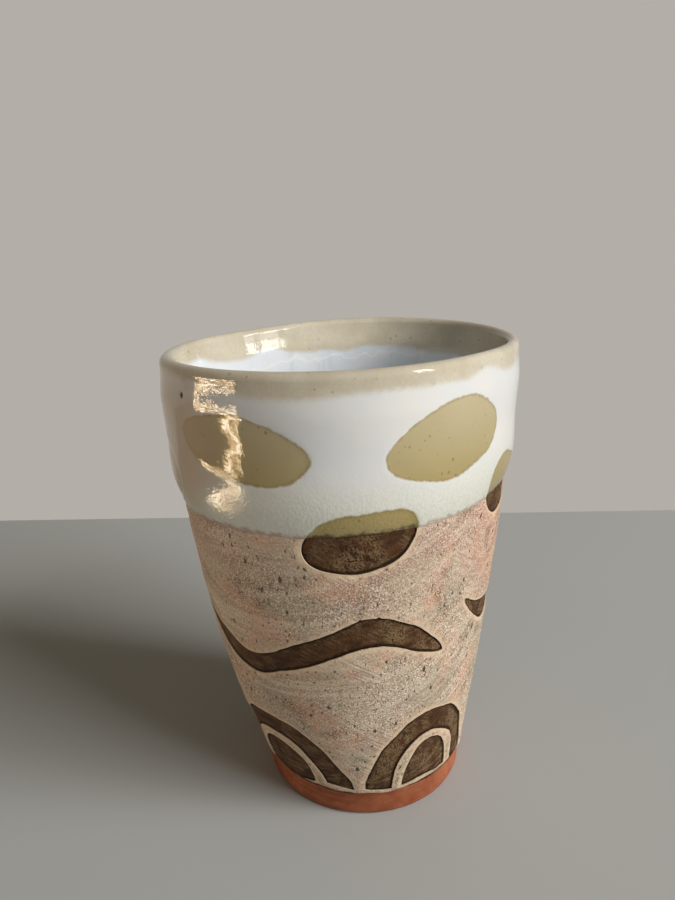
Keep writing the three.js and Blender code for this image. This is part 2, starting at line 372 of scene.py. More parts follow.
def joined(*skins):
    """Joins skins, each given as its turns, its heights and its radii, row after row."""
    return [np.concatenate(parts) for parts in zip(*skins)]


def settle(piece, node, material):
    """Seats a finished piece: it stands for a node of the model, moves with the cup and takes a finish."""
    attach(piece, "root")
    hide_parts(node)
    piece.data.materials.append(material)


# %% [markdown]
# ## Tools for the finishes
#
# A finish is a tree of shader nodes. Small helpers keep such trees short to write: `add` makes a node and
# fills its inputs with numbers or with other nodes' outputs, `calc`, `times` and `plus` do sums, `fade` turns
# a range of values into a soft mask, and `cover` and `tint` paint one colour over another where a mask says
# so. A new node goes to the tree that its inputs come from. Colours are written as they look in a paint
# program and are turned into the linear numbers that light adds up in.

# %% Node helpers


def paint(code):
    """A colour written as #rrggbb, as Blender's linear numbers."""
    parts = [int(code[i : i + 2], 16) / 255 for i in (1, 3, 5)]
    return [p / 12.92 if p <= 0.04045 else ((p + 0.055) / 1.055) ** 2.4 for p in parts] + [1.0]


def is_output(value):
    return isinstance(value, bpy.types.NodeSocket)


def add(kind, inputs=None, tree=None, **settings):
    """Adds a node to a tree, which is the one that its inputs come from if no other is given."""
    inputs = inputs or {}
    tree = tree or next(filter(is_output, inputs.values())).id_data
    node = tree.nodes.new("ShaderNode" + kind)
    for label, value in settings.items():
        setattr(node, label, value)
    for label, value in inputs.items():
        if is_output(value):
            tree.links.new(value, node.inputs[label])
        else:
            node.inputs[label].default_value = value
    return node


def calc(operation, first, second=0.0, third=0.0):
    return add("Math", {0: first, 1: second, 2: third}, operation=operation).outputs[0]


def times(first, second):
    return calc("MULTIPLY", first, second)


def plus(value, more, share):
    """A value plus a share of another."""
    return calc("MULTIPLY_ADD", more, share, value)


def fade(value, low, high):
    """A mask that is 0 where the value is at low and 1 where it is at high, with a soft rise between them."""
    inputs = {"Value": value, "From Min": low, "From Max": high}
    return add("MapRange", inputs, interpolation_type="SMOOTHSTEP").outputs[0]


def cover(mask, below, above):
    """Paints one colour over another where the mask says so."""
    return add("Mix", {0: mask, 6: below, 7: above}, data_type="RGBA").outputs[2]


def tint(colour, code, mask, strength=None):
    """Paints a #rrggbb colour over another where the mask says so, at full or less than full strength."""
    if strength is not None:
        mask = times(mask, strength)
    return cover(mask, colour, paint(code))


# %% Where a point is


def place_of(tree):
    return add("TexCoord", tree=tree).outputs["Object"]


def number_of(tree, label):
    return add("Attribute", tree=tree, attribute_name=label).outputs["Fac"]


def path_of(tree, label):
    return add("Attribute", tree=tree, attribute_name=label).outputs["Vector"]


def height_of(place):
    return add("SeparateXYZ", {0: place}).outputs[2]


def moved(operation, place, other):
    """A place that is scaled by, added to or reduced by another, axis by axis."""
    return add("VectorMath", {0: place, 1: other}, operation=operation).outputs[0]


def way_to(place, spot):
    return add("VectorMath", {0: place, 1: spot}, operation="DISTANCE").outputs["Value"]


def noise(place, scale, detail, **more):
    return add("TexNoise", {"Vector": place, "Scale": scale, "Detail": detail, **more}).outputs["Fac"]


# %% [markdown]
# ## Effects that several finishes share
#
# Bare clay, both slips and the glazes all show the same few things: specks of iron, cloudy changes of tone,
# streaks that follow the brush, and something special along an edge. Each effect is a node group with named
# sockets, made once. A finish places the group with its own sizes.

# %% A shared effect's frame


def effect(name, inputs, output):
    """A new node group. Its inputs come as (label, kind, value), its one output as (label, kind)."""
    tree = bpy.data.node_groups.new(name, "ShaderNodeTree")
    for label, kind, value in inputs:
        socket = tree.interface.new_socket(label, in_out="INPUT", socket_type="NodeSocket" + kind)
        if value is not None:
            socket.default_value = value
    tree.interface.new_socket(output[0], in_out="OUTPUT", socket_type="NodeSocket" + output[1])
    print("Made the effect", name)
    return tree, tree.nodes.new("NodeGroupInput").outputs, tree.nodes.new("NodeGroupOutput").inputs[0]


def use(group, **inputs):
    """Places an effect and gives what it puts out."""
    return add("Group", inputs, node_tree=group).outputs[0]


# %% Cloudy tone
clouds, given, result = effect(
    "Cloudy tone",
    [("Place", "Vector", None), ("Size", "Float", 8 * mm), ("Detail", "Float", 3.0)],
    ("Tone", "Float"),
)
scale = calc("DIVIDE", 1.0, given["Size"])
texture = noise(given["Place"], scale, given["Detail"])
clouds.links.new(fade(texture, 0.3, 0.7), result)


def cloudy(place, size, detail=3.0):
    return use(clouds, Place=place, Size=size, Detail=detail)


# %% [markdown]
# Iron specks burn through slip and glaze as small dark spots of every size. A Voronoi texture scatters one
# spot in each of its cells. A random number for each cell decides whether the spot is there at all and how
# large it is, and a little noise on the place makes its outline ragged.

# %% Scattered specks
specks, given, result = effect(
    "Scattered specks",
    [("Place", "Vector", None), ("Size", "Float", 1 * mm), ("Share", "Float", 0.3), ("Ragged", "Float", 0.3)],
    ("Mask", "Float"),
)
scale = calc("DIVIDE", 1.0, given["Size"])
ragged = add("TexNoise", {"Vector": given["Place"], "Scale": times(scale, 2.5)})
centred = moved("SUBTRACT", ragged.outputs["Color"], (0.5, 0.5, 0.5))
reach = times(given["Size"], given["Ragged"])
pushed = add("VectorMath", {0: centred, "Scale": reach}, operation="SCALE").outputs[0]
cells = add("TexVoronoi", {"Vector": moved("ADD", given["Place"], pushed), "Scale": scale})
luck = add("SeparateColor", {0: cells.outputs["Color"]})
there = calc("LESS_THAN", luck.outputs[0], given["Share"])
mostly_small = calc("POWER", luck.outputs[1], 2.5)
radius = plus(0.09, mostly_small, 0.26)
inside = fade(calc("DIVIDE", cells.outputs["Distance"], radius), 1.25, 0.75)
specks.links.new(times(inside, there), result)


def speckled(place, size, share, ragged=0.3):
    return use(specks, Place=place, Size=size, Share=share, Ragged=ragged)


# %% [markdown]
# A brush leaves long thin streaks. The pieces carry the brush's path as an attribute: a drum's x and y, and a
# height that climbs and falls round the cup. Noise that is stretched along x and y and squeezed along that
# height draws the streaks.

# %% Brush streaks
streaks, given, result = effect(
    "Brush streaks",
    [("Path", "Vector", None), ("Length", "Float", 12 * mm), ("Width", "Float", 0.8 * mm)],
    ("Tone", "Float"),
)
along = calc("DIVIDE", 1.0, given["Length"])
across = calc("DIVIDE", 1.0, given["Width"])
stretch = add("CombineXYZ", {0: along, 1: along, 2: across}).outputs[0]
texture = noise(moved("MULTIPLY", given["Path"], stretch), 1.0, 3.0)
streaks.links.new(fade(texture, 0.32, 0.68), result)


def streaky(path, length, width):
    return use(streaks, Path=path, Length=length, Width=width)


# %% [markdown]
# Along a window's outline slip is thicker or thinner, and some finishes paint shade and highlight there. This
# effect turns the distance to the outline into a mask that is full at the outline and has faded at a reach
# from it, with a ragged end.

# %% Band along an edge
edge_band, given, result = effect(
    "Band along an edge",
    [("Gap", "Float", 0.0), ("Place", "Vector", None), ("Reach", "Float", 1 * mm), ("Ragged", "Float", 0.5)],
    ("Mask", "Float"),
)
texture = noise(given["Place"], 1 / (1.2 * mm), 3.0)
uneven = times(calc("SUBTRACT", texture, 0.5), given["Ragged"])
distance = calc("DIVIDE", calc("ABSOLUTE", given["Gap"]), given["Reach"])
spread = plus(distance, uneven, 2.0)
edge_band.links.new(fade(spread, 1.0, 0.35), result)


def edged(gap, place, reach, ragged):
    return use(edge_band, Gap=gap, Place=place, Reach=reach, Ragged=ragged)


# %% [markdown]
# Where the glaze lies on bare clay it turns from white to a warm tan with a few fine iron specks. That is so
# over the lip, down outside to the slips, and inside above the white liner. The two glazes meet inside, so
# one effect paints the tan and the white there for both, and no seam shows where one piece ends. The white's
# edge runs in tongues and a little aslant, as when a cup is tilted to pour the glaze out, and a light line
# marks where it ran a second time. Near that edge the white has a touch of blue, a painted reflection of sky,
# and deeper down it is plain.

# %% Tan glaze over bare clay
tan_glaze, given, result = effect("Tan glaze", [("Place", "Vector", None)], ("Colour", "Color"))
spot = given["Place"]
colour = cover(cloudy(spot, 8 * mm), paint("#c9c2af"), paint("#d8d2c1"))
colour = tint(colour, "#b5a98b", cloudy(spot, 0.6 * mm), 0.2)
colour = tint(colour, "#7d6a45", speckled(spot, 1.1 * mm, 0.2), 0.35)
tan_glaze.links.new(colour, result)

# %% Glazes meeting inside
inside_glaze, given, result = effect("Inside glaze", [("Place", "Vector", None)], ("Colour", "Color"))
spot = given["Place"]
pour_slant = (0.049, -0.052, 1.0)
white_from = 98 * mm
painted_sky_blue_gone = 72 * mm
run_low, run_full, run_fading, run_high = 102.6 * mm, 103.1 * mm, 103.3 * mm, 103.9 * mm
tan_from = 103.3 * mm
tan_full = 105 * mm
up = add("VectorMath", {0: spot, 1: pour_slant}, operation="DOT_PRODUCT").outputs["Value"]
pour = plus(up, cloudy(spot, 24 * mm, 1.0), 3.0 * mm)
pour = plus(pour, cloudy(spot, 4 * mm, 1.0), 0.6 * mm)
# Painted reflection: the white's touch of blue stands for sky mirrored in the glaze near the top; lower down
# it turns plain white.
white = cover(cloudy(spot, 20 * mm), paint("#dae6f3"), paint("#e8f0f8"))
white = tint(white, "#e0e6eb", fade(up, white_from, painted_sky_blue_gone))
trickles = noise(moved("MULTIPLY", spot, (330.0, 330.0, 26.0)), 1.0, 2.0)
white = tint(white, "#c6ced8", fade(trickles, 0.55, 0.75), 0.3)
run = plus(pour, cloudy(spot, 9 * mm), 3.4 * mm)
run_line = times(fade(run, run_low, run_full), fade(run, run_high, run_fading))
white = tint(white, "#f2f5f8", run_line, 0.7)
tan = use(tan_glaze, Place=spot)
colour = cover(fade(pour, tan_from, tan_full), white, tan)
inside_glaze.links.new(colour, result)

# %% [markdown]
# ## The shader at the end of each finish
#
# Every finish ends in one Principled shader. What is the same all over, such as the gloss of the coat, is set
# on the shader itself. What changes over the surface arrives through links.

# %% Start a finish


def finish_of(name, **sockets):
    """A new material and its tree. What is the same all over is set on its shader right away."""
    material = bpy.data.materials.new(name)
    material.use_nodes = True
    tree = material.node_tree
    for label, value in sockets.items():
        tree.nodes["Principled BSDF"].inputs[label.replace("_", " ")].default_value = value
    print("Started the finish", name)
    return material, tree


def connect(colour, roughness=None, height=None, depth=None):
    """Joins what changes over the surface to the shader. The height makes the surface's finest relief."""
    tree = colour.id_data
    shader = tree.nodes["Principled BSDF"]
    tree.links.new(colour, shader.inputs["Base Color"])
    if roughness is not None:
        tree.links.new(roughness, shader.inputs["Roughness"])
        bump = add("Bump", {"Height": height, "Distance": depth})
        tree.links.new(bump.outputs[0], shader.inputs["Normal"])
    print("The finish has", len(tree.nodes), "nodes")


# %% [markdown]
# ## Red clay
#
# The foot is bare clay, fired to a warm orange red and wiped smooth with a sponge. The sponge leaves faint
# level wipes, and the clay's own sand shows as fine lighter and darker grains. Bare clay hardly shines, which
# a low Specular IOR Level says.

# %% Finish of the red clay
red_clay, tree = finish_of("red clay", Specular_IOR_Level=0.2)
spot = place_of(tree)
wipe = noise(moved("MULTIPLY", spot, (60.0, 60.0, 1400.0)), 1.0, 2.0)
tone = cloudy(spot, 9 * mm)
colour = cover(tone, paint("#8f5136"), paint("#aa694b"))
colour = tint(colour, "#b97a55", fade(wipe, 0.45, 0.75), 0.4)
colour = tint(colour, "#7d3f25", fade(cloudy(spot, 3 * mm), 0.5, 1.0), 0.35)
sand = speckled(spot, 0.9 * mm, 0.35)
colour = tint(colour, "#6b341d", sand, 0.4)
colour = tint(colour, "#cf9a7b", speckled(spot, 0.7 * mm, 0.15), 0.4)
roughness = plus(0.55, tone, 0.12)
height = calc("SUBTRACT", times(wipe, 0.6), sand)
connect(colour, roughness, height, 0.02 * mm)

# %% [markdown]
# ## Dark slip
#
# The dark slip is brown with a dry, scumbled look, and it hardly shines either. Where the brush ran thin and
# where pale slip was wiped away, grey-brown grains are left in streaks. Right along the outline of a window a
# near-black line is painted shade, in the crevice under the pale slip's raised edge.

# %% Finish of the dark slip
dark_slip, tree = finish_of("dark slip", Specular_IOR_Level=0.15)
spot = place_of(tree)
gap = number_of(tree, "window_gap")
level_path = path_of(tree, "level_path")
slant_path = path_of(tree, "slant_path")
tone = cloudy(level_path, 13 * mm, 1.0)
brushed = streaky(level_path, 5 * mm, 1.1 * mm)
colour = cover(brushed, paint("#402b1c"), paint("#5b3f29"))
patch = cloudy(level_path, 3.5 * mm, 4.0)
colour = tint(colour, "#664f38", fade(patch, 0.35, 0.9), 0.5)
grain = cloudy(spot, 0.4 * mm, 3.0)
worn = cloudy(slant_path, 1.8 * mm, 4.0)
middle = fade(gap, -0.3 * mm, -1.2 * mm)
scumble = times(fade(worn, 0.05, 0.6), fade(grain, 0.15, 0.7))
scumble = times(scumble, times(middle, fade(tone, 0.15, 0.75)))
near_foot = fade(height_of(spot), 20 * mm, 9 * mm)
scumble = times(scumble, plus(1.0, near_foot, -0.6))
colour = tint(colour, "#8f795a", scumble, 0.65)
colour = tint(colour, "#2a1c13", fade(grain, 0.35, 0.05), 0.6)
bristles = streaky(slant_path, 2.2 * mm, 0.3 * mm)
bristles = times(fade(bristles, 0.6, 1.0), fade(patch, 0.3, 0.8))
colour = tint(colour, "#8f7a5f", bristles, 0.45)
dry = times(fade(brushed, 0.55, 0.95), times(near_foot, grain))
colour = tint(colour, "#a08d6d", dry, 0.7)
# Painted shade: a near-black line along each window's outline, in the crevice under the pale slip's raised
# edge.
line = edged(plus(gap, patch, 0.4 * mm), spot, 0.55 * mm, 0.9)
colour = tint(colour, "#1f140d", line, 0.85)
roughness = plus(0.6, grain, 0.2)
height = plus(grain, brushed, 0.6)
connect(colour, roughness, height, 0.05 * mm)

# %% [markdown]
# ## Pale slip
#
# The pale slip is dry and grainy. Its cream is clouded with grey, and the red clay tints it salmon in places,
# most of all on one side, where it was brushed thin. Brush streaks run over it, dark specks and light flakes
# sit in it, and along each window it is thick and smooth, with a peach band that is partly its own colour and
# partly a painted highlight where its raised edge catches the light.

# %% Ground tone of the pale slip
pale_slip, tree = finish_of("pale slip")
spot = place_of(tree)
gap = number_of(tree, "window_gap")
ridge = number_of(tree, "ridge")
level_path = path_of(tree, "level_path")
slant_path = path_of(tree, "slant_path")
blush_path = path_of(tree, "blush_path")
thin_side = (20 * mm, -25 * mm, 72 * mm)
colour = cover(cloudy(spot, 15 * mm), paint("#b19b85"), paint("#cbb8a2"))
colour = tint(colour, "#a49b87", fade(cloudy(slant_path, 22 * mm), 0.3, 0.8), 0.8)
blush = cloudy(blush_path, 13 * mm, 4.0)
by_glaze = fade(height_of(spot), 56 * mm, 77 * mm)
blush = plus(times(blush, 0.75), by_glaze, 0.55)
colour = tint(colour, "#b19083", fade(blush, 0.35, 1.0), 0.8)
warm = cloudy(level_path, 10 * mm, 3.0)
colour = tint(colour, "#d3a084", fade(warm, 0.55, 1.0), 0.7)
from_side = plus(way_to(spot, thin_side), warm, -12 * mm)
colour = tint(colour, "#c98d78", fade(from_side, 26 * mm, 4 * mm), 0.6)

# %% Brushed grain of the pale slip
colour = tint(colour, "#e3d3bd", fade(ridge, 0.3, 0.9), 0.4)
colour = tint(colour, "#a08870", fade(ridge, -0.1, -0.8), 0.25)
brushed = streaky(slant_path, 9 * mm, 0.9 * mm)
crossed = streaky(level_path, 22 * mm, 1.1 * mm)
swept = cloudy(blush_path, 14 * mm)
streaked = times(fade(brushed, 0.35, 1.0), times(swept, 0.7))
level = times(fade(crossed, 0.45, 1.0), calc("SUBTRACT", 1.0, swept))
streaked = calc("MAXIMUM", streaked, level)
colour = tint(colour, "#ecdcc6", streaked, 0.55)
grain = cloudy(spot, 0.3 * mm, 2.0)
rough_zone = cloudy(level_path, 12 * mm)
dark_grain = times(fade(grain, 0.5, 0.0), plus(0.38, rough_zone, 0.65))
colour = tint(colour, "#6f5c4d", dark_grain)
flecks = cloudy(moved("ADD", spot, (0.1, 0.2, 0.3)), 0.4 * mm, 2.0)
light_grain = times(fade(flecks, 0.5, 1.0), plus(0.46, rough_zone, 0.5))
colour = tint(colour, "#f0e4d4", light_grain)
thin_patch = cloudy(level_path, 7 * mm)
thin_patch = times(fade(thin_patch, 0.75, 1.0), fade(grain, 0.6, 0.3))
colour = tint(colour, "#5d4a38", thin_patch, 0.7)
print("Nodes so far:", len(tree.nodes))

# %% Edges and specks of the pale slip
# Along each window: a peach band, partly the thick slip's own colour and partly a painted highlight where the
# raised edge catches the light. Specks stay out of it.
colour = tint(colour, "#cfae94", edged(gap, spot, 2.2 * mm, 1.3), 0.4)
band = edged(gap, spot, 1.0 * mm, 1.4)
colour = tint(colour, "#dfcbb0", band, 0.7)
bare = calc("SUBTRACT", 1.0, times(band, 0.8))
stood = moved("MULTIPLY", spot, (1.0, 1.0, 0.6))
fine = speckled(stood, 0.8 * mm, 0.4, 0.5)
large = speckled(stood, 1.4 * mm, 0.28, 0.6)
dark_dots = times(calc("MAXIMUM", times(fine, 0.8), large), bare)
colour = tint(colour, "#3a2a1e", dark_dots, 0.9)
roughness = plus(0.72, grain, 0.15)
height = plus(times(streaked, 2.0), grain, 0.6)
connect(colour, roughness, calc("SUBTRACT", height, dark_dots), 0.05 * mm)

# %% [markdown]
# ## Dip glaze
#
# The band round the rim is a thin glossy glaze. Over pale slip it is white, cool above and faintly green
# where it ran thick towards its lower edge, and tan on one side, where it is thin because the cup was held
# there. Over the dark pebbles it is olive, lighter near the rim. Over the lip it lies on clay alone.

# %% White and olive of the dip glaze
cream_glaze, tree = finish_of("cream glaze", IOR=1.52)
spot = place_of(tree)
gap = number_of(tree, "window_gap")
below_lip = number_of(tree, "below_lip")
above_edge = number_of(tree, "above_edge")
tone = cloudy(spot, 14 * mm)
peel = cloudy(spot, 0.6 * mm, 2.0)
low = fade(above_edge, 16 * mm, 2 * mm)
white = cover(tone, paint("#dfe3e8"), paint("#e6e7e7"))
white = tint(white, "#e0e3db", low)
white = tint(white, "#cbcfc0", times(peel, low), 0.45)
olive = cover(fade(above_edge, 27 * mm, 5 * mm), paint("#c3b898"), paint("#a5955f"))
olive = tint(olive, "#baab7e", tone, 0.35)
olive = tint(olive, "#8f7f4e", times(peel, low), 0.3)
olive = tint(olive, "#66562f", speckled(spot, 1.1 * mm, 0.3), 0.45)

# %% Edges and rim of the dip glaze
held_at = (-44 * mm, 10 * mm, 95 * mm)
ragged = cloudy(spot, 1.4 * mm)
from_edge = plus(above_edge, ragged, -0.9 * mm)
white = tint(white, "#ad9583", fade(from_edge, 0.9 * mm, -0.2 * mm), 0.8)
olive = tint(olive, "#47361f", fade(from_edge, 0.9 * mm, -0.4 * mm), 0.9)
olive = tint(olive, "#857545", edged(gap, spot, 0.6 * mm, 0.8), 0.35)
soft_gap = plus(gap, ragged, 0.25 * mm)
colour = cover(fade(soft_gap, 0.42 * mm, -0.12 * mm), white, olive)
drift = cloudy(spot, 19 * mm, 1.0)
rim_reach = plus(below_lip, drift, -2.6 * mm)
rim_reach = plus(rim_reach, ragged, -0.3 * mm)
colour = cover(fade(rim_reach, 3.8 * mm, 1.9 * mm), colour, use(tan_glaze, Place=spot))
held = plus(way_to(spot, held_at), drift, -5 * mm)
colour = tint(colour, "#cbb595", fade(held, 18 * mm, 5 * mm), 0.75)
inside = fade(below_lip, 0.2 * mm, -0.2 * mm)
colour = cover(inside, colour, use(inside_glaze, Place=spot))
colour = tint(colour, "#15100c", fade(number_of(tree, "pinhole"), 0.25, 0.5))
roughness = plus(0.04, times(peel, low), 0.12)
height = times(peel, plus(0.06, low, 0.94))
height = plus(height, cloudy(spot, 2.4 * mm, 2.0), 0.3)
connect(colour, roughness, height, 0.03 * mm)

# %% [markdown]
# ## Liner glaze
#
# Inside, a white glaze was poured in and out again, with a touch of blue near the top that is a painted
# reflection of sky. Its upper edge runs in soft uneven tongues under the tan of the rim, with faint lines
# where it trickled.

# %% Finish of the liner glaze
white_glaze, tree = finish_of("white glaze", IOR=1.52)
spot = place_of(tree)
waves = cloudy(spot, 5 * mm, 1.0)
roughness = plus(0.06, waves, 0.04)
connect(use(inside_glaze, Place=spot), roughness, waves, 0.02 * mm)

# %% [markdown]
# ## The floor slab
#
# The floor is a thick disc of clay with a rounded lower edge, and its rim is the bare foot that the cup
# stands on. A profile that starts and ends on the axis is turned once round. The side gets the faint
# unevenness of sponged clay, while the underside stays flat.

# %% Floor slab
clay_columns = 480
clay_row = 0.3 * mm
sponge_coarse = 0.05 * mm
sponge_fine = 0.02 * mm


def sponged(turn, z):
    """The unevenness of wiped clay, never proud of its plain form."""
    coarse = wobble(turn, z, 4 * mm, seed=11)
    fine = wobble(turn, z, 1.3 * mm, seed=12)
    return sponge_coarse * (coarse - 1) + sponge_fine * (fine - 1)


edge_turn = np.linspace(0, math.pi / 2, 7)
edge_radius = foot_radius - foot_edge_radius * (1 - np.sin(edge_turn))
edge_height = foot_edge_radius * (1 - np.cos(edge_turn))
side_height = steps_after(foot_edge_radius, floor_thickness, clay_row)
floor_rings = foot_radius * np.array([0, 0.3, 0.6, 0.85])
profile_radius = np.concatenate([floor_rings, edge_radius, np.full(len(side_height), foot_radius)])
profile_height = np.concatenate([0 * floor_rings, edge_height, side_height])
profile_radius = np.concatenate([profile_radius, floor_rings[::-1]])
profile_height = np.concatenate([profile_height, np.full(len(floor_rings), floor_thickness)])
radius, turn, z = turned_profile(profile_radius, profile_height, clay_columns)
sides = (radius > 0.9 * foot_radius) & (z > 0)
slab_points = squeeze(radius + np.where(sides, sponged(turn, z), 0), turn, z)
slab = make_piece("clay_floor", slab_points, grid_faces(*turn.shape, closed=False), {})
settle(slab, "floor_slab", red_clay)

# %% [markdown]
# ## The wall
#
# Only a narrow ring of the wall shows, between the floor slab and the slips, but a hidden layer still belongs
# to a cup that is built as the real one. Its profile goes up the outside, over the round lip and down the
# inside, where it is thicker near the foot.

# %% Clay wall
lip_middle = wall_radius(lip_centre) - wall_at_rim / 2
bare_to = slip_foot + 2 * mm
hidden_row = 3 * mm


def round_lip(off, angles):
    """Radii and heights of the half round over the lip, at a distance off the clay."""
    size = wall_at_rim / 2 + off
    return lip_middle + size * np.cos(angles), lip_centre + size * np.sin(angles)


lip_radius, lip_height = round_lip(0, np.linspace(0, math.pi, 13))
shown_height = steps_between(floor_thickness, bare_to, clay_row)
hidden_height = steps_between(bare_to, lip_centre, hidden_row)
outer_height = np.concatenate([shown_height, hidden_height])
inner_height = steps_after(lip_centre, floor_thickness, hidden_row)
profile_radius = np.concatenate([wall_radius(outer_height), lip_radius, inner_radius(inner_height)])
profile_height = np.concatenate([outer_height, lip_height, inner_height])
radius, turn, z = turned_profile(profile_radius, profile_height, clay_columns)
outside_rows = np.arange(len(profile_height))[:, None] < len(outer_height)
wall_points = squeeze(radius + np.where(outside_rows, sponged(turn, z), 0), turn, z)
clay_wall = make_piece("clay_wall", wall_points, grid_faces(*turn.shape, closed=True), {})
settle(clay_wall, "wall", red_clay)

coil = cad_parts["joint_coil"]
coil.data.materials.clear()
coil.data.materials.append(red_clay)
print("The sealing coil keeps its plain form, because the liner glaze covers it")

# %% [markdown]
# ## Paths of the brush
#
# Both slips were brushed on. One path runs nearly level, and the other climbs and falls round the cup. The
# slips' meshes carry both as attributes, so that relief and colour follow the same strokes. A third, slower
# path carries the salmon blush.

# %% Brush paths
slant_rise = 24 * mm
slant_start = math.radians(230)
level_rise = 10 * mm
level_start = math.radians(90)


def brush_ridges(turn, z):
    """The relief of brushed slip, about -1 to 1: slanting scores in some zones and level ridges in others."""
    slanting = soft_noise(drum_points(turn, z, slant_rise, slant_start), np.array([9, 9, 1.2]) * mm, seed=21)
    level = soft_noise(drum_points(turn, z, level_rise, level_start), np.array([24, 24, 3.2]) * mm, seed=22)
    share = smooth_step(wobble(turn, z, 24 * mm, seed=23), -0.5, 0.5)
    return slanting * (1 - share) + (1 - 3 * np.abs(level)) * share


def brush_numbers(turn, z):
    return {
        "window_gap": window_gap(turn, z),
        "ridge": brush_ridges(turn, z),
        "level_path": drum_points(turn, z, level_rise, level_start),
        "slant_path": drum_points(turn, z, slant_rise, slant_start),
        "blush_path": drum_points(turn, 1.8 * z, slant_rise, slant_start),
    }


# %% [markdown]
# ## Dark slip coat
#
# The dark slip is a thin coat from just above the floor slab to just below the lip. Its lower edge was
# painted by hand, so the lowest row waves and the rows above it even out. Where the coat is hidden under the
# glaze, its rows stand further apart.

# %% Dark slip coat
slip_columns = 400
brush_row = 0.6 * mm
show_to = glaze_line + 1.5 * mm
wave_felt = 7 * mm
feather_start = -0.1 * mm
feather_end = 0.7 * mm
score_depth = 0.04 * mm
dark_in_clay = 0.1 * mm


def waved(z, edge, foot):
    """Lets the rows near the foot follow a wavy lower edge, and evens them out above it."""
    return z + (edge - foot) * (1 - smooth_step(z, foot, foot + wave_felt))


def feathered(z, edge):
    """How far a coat has reached its thickness, 0 at its lower edge."""
    return smooth_step(z - edge, feather_start, feather_end)


def dark_edge(turn):
    wave = 0.7 * wobble(turn, 0 * turn, 12 * mm, seed=31) + 0.25 * wobble(turn, 0 * turn, 2.5 * mm, seed=32)
    return slip_foot + mm * (0.1 + wave)


brushed_rows = steps_between(slip_foot, show_to, brush_row)
hidden_rows = steps_between(show_to, dark_top, hidden_row)
up_rows = np.concatenate([brushed_rows, hidden_rows, [dark_top]])
turn, z = turned_grid(up_rows, slip_columns)
z = waved(z, dark_edge(turn), slip_foot)
skin = dark_outer * (0.15 + 0.85 * feathered(z, dark_edge(turn))) + score_depth * (brush_ridges(turn, z) - 1)
back_turn, back_z = turned_grid(up_rows[::-3], slip_columns)
back_z = waved(back_z, dark_edge(back_turn), slip_foot)
behind = np.full(back_turn.shape, -dark_in_clay)
all_turn, all_z, off = joined((turn, z, skin), (back_turn, back_z, behind))
dark_points = squeeze(wall_radius(all_z) + off, all_turn, all_z)
dark_faces = grid_faces(*all_turn.shape, closed=True)
dark_coat = make_piece("dark_slip", dark_points, dark_faces, brush_numbers(all_turn, all_z))
settle(dark_coat, "dark_slip_coat", dark_slip)

# %% [markdown]
# ## Pale slip coat
#
# This coat has real windows. A grid can't follow a curved outline, so the grid's points next to an outline
# are pulled onto it first. Then every cell that lies inside a window is left out, and a cell with one corner
# inside keeps the triangle of its other three. The same faces, turned over, make the coat's back, and narrow
# faces along every free edge close the coat to a solid. Towards an outline the coat gets thinner, as brushed
# slip does.

# %% Windows in a grid


def pull_to_outlines(turn, z, cell):
    """Moves grid points that are within half a cell of an outline onto it. Gives each point's side too."""
    step = 0.05 * mm
    side = np.sign(window_gap(turn, z))
    near = np.abs(window_gap(turn, z)) < 0.5 * cell
    near[0] = near[-1] = False
    for _ in range(2):
        gap = window_gap(turn, z)
        slope_z = (window_gap(turn, z + step) - window_gap(turn, z - step)) / (2 * step)
        turn_step = step / wall_radius(z)
        slope_turn = (window_gap(turn + turn_step, z) - window_gap(turn - turn_step, z)) / (2 * step)
        move = np.where(near, gap / np.maximum(slope_z**2 + slope_turn**2, 0.2), 0)
        turn, z = turn - move * slope_turn / wall_radius(z), z - move * slope_z
    return turn, z, np.where(near, 0, side)


def faces_outside(side):
    """The faces of a grid that lie outside the windows: whole cells, and the triangles beside an outline."""
    cells = grid_faces(*side.shape, closed=False)
    corner_side = side.ravel()[cells]
    kept = corner_side >= 0
    touches = (corner_side > 0).any(axis=1)
    whole = cells[kept.all(axis=1) & touches]
    three = (kept.sum(axis=1) == 3) & touches
    return whole, cells[three][kept[three]].reshape(-1, 3)


def closed_sheet(whole, threes, back):
    """Adds the sheet's back, whose points are numbered from back on, and the faces along its free edges."""
    loops = [whole[:, [0, 1]], whole[:, [1, 2]], whole[:, [2, 3]], whole[:, [3, 0]]]
    loops += [threes[:, [0, 1]], threes[:, [1, 2]], threes[:, [2, 0]]]
    edges = np.concatenate(loops)
    forward = edges[:, 0] * back + edges[:, 1]
    free = edges[~np.isin(forward, edges[:, 1] * back + edges[:, 0])]
    rim = np.stack([free[:, 1], free[:, 0], free[:, 0] + back, free[:, 1] + back], axis=1)
    quads = np.concatenate([whole, whole[:, ::-1] + back, rim])
    return quads.tolist() + threes.tolist() + (threes[:, ::-1] + back).tolist()


# %% Pale slip coat
pale_row = 0.52 * mm
pale_hidden_row = 2 * mm
pale_in_dark = 0.03 * mm
shoulder_width = 1.3 * mm
ridge_height = 0.1 * mm
ridge_from_edge = 1.5 * mm


def pale_edge(turn):
    wave = 0.9 * wobble(turn, 0 * turn, 12 * mm, seed=41) + 0.3 * wobble(turn, 0 * turn, 2 * mm, seed=42)
    return slip_foot + mm * (1.1 + wave)


def pale_skin(turn, z, gap):
    """How far the pale slip's face stands off the clay."""
    shoulder = 0.55 + 0.45 * smooth_step(gap, 0, shoulder_width)
    hem = 0.3 + 0.7 * feathered(z, pale_edge(turn))
    ridges = ridge_height * (brush_ridges(turn, z) - 0.6) * smooth_step(gap, 0, ridge_from_edge)
    return pale_inner + pale_thickness * shoulder * hem + ridges


